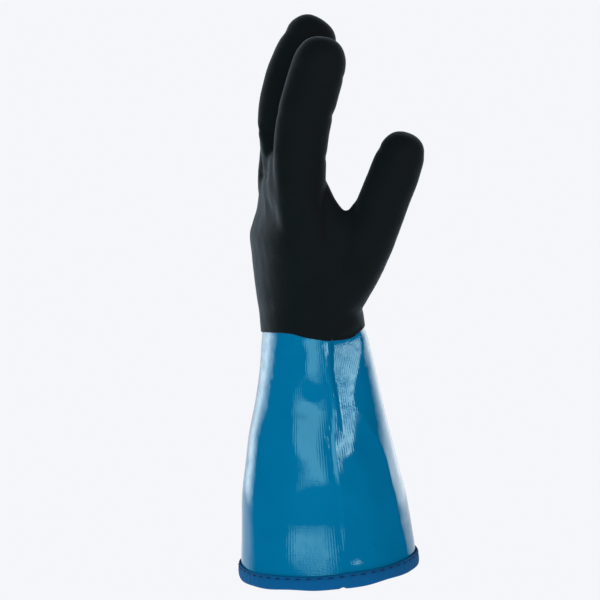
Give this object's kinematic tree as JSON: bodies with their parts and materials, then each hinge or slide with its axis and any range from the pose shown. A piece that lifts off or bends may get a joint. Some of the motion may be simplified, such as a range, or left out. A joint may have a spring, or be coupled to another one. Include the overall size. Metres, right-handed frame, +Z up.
{
  "type": "chemical-resistant glove",
  "caption": "Left-hand lined work glove held in its worn shape: soft hollow hand with relaxed fingers, glossy flared gauntlet cuff and bound hem.",
  "frame": {"origin": "centre of the cuff opening, in the plane of the hem", "axes": "+Z up the forearm to the fingertips, +X the way the palm faces, -Y the thumb side"},
  "size_m": [0.1142, 0.132, 0.3458],
  "materials": {
    "hand_coat": "matte, fine sandy foam",
    "gauntlet_coat": "glossy, with the knit beneath showing as fine ribs",
    "hem_tape": "woven, stitched along its upper edge"
  },
  "bodies": {
    "root": {"heel": "hand_coat", "radial_knuckles": "hand_coat", "ulnar_knuckles": "hand_coat", "thumb": "hand_coat", "index_finger": "hand_coat", "middle_finger": "hand_coat", "ring_finger": "hand_coat", "little_finger": "hand_coat", "gauntlet": "gauntlet_coat", "hem_binding": "hem_tape"}
  },
  "joints": []
}
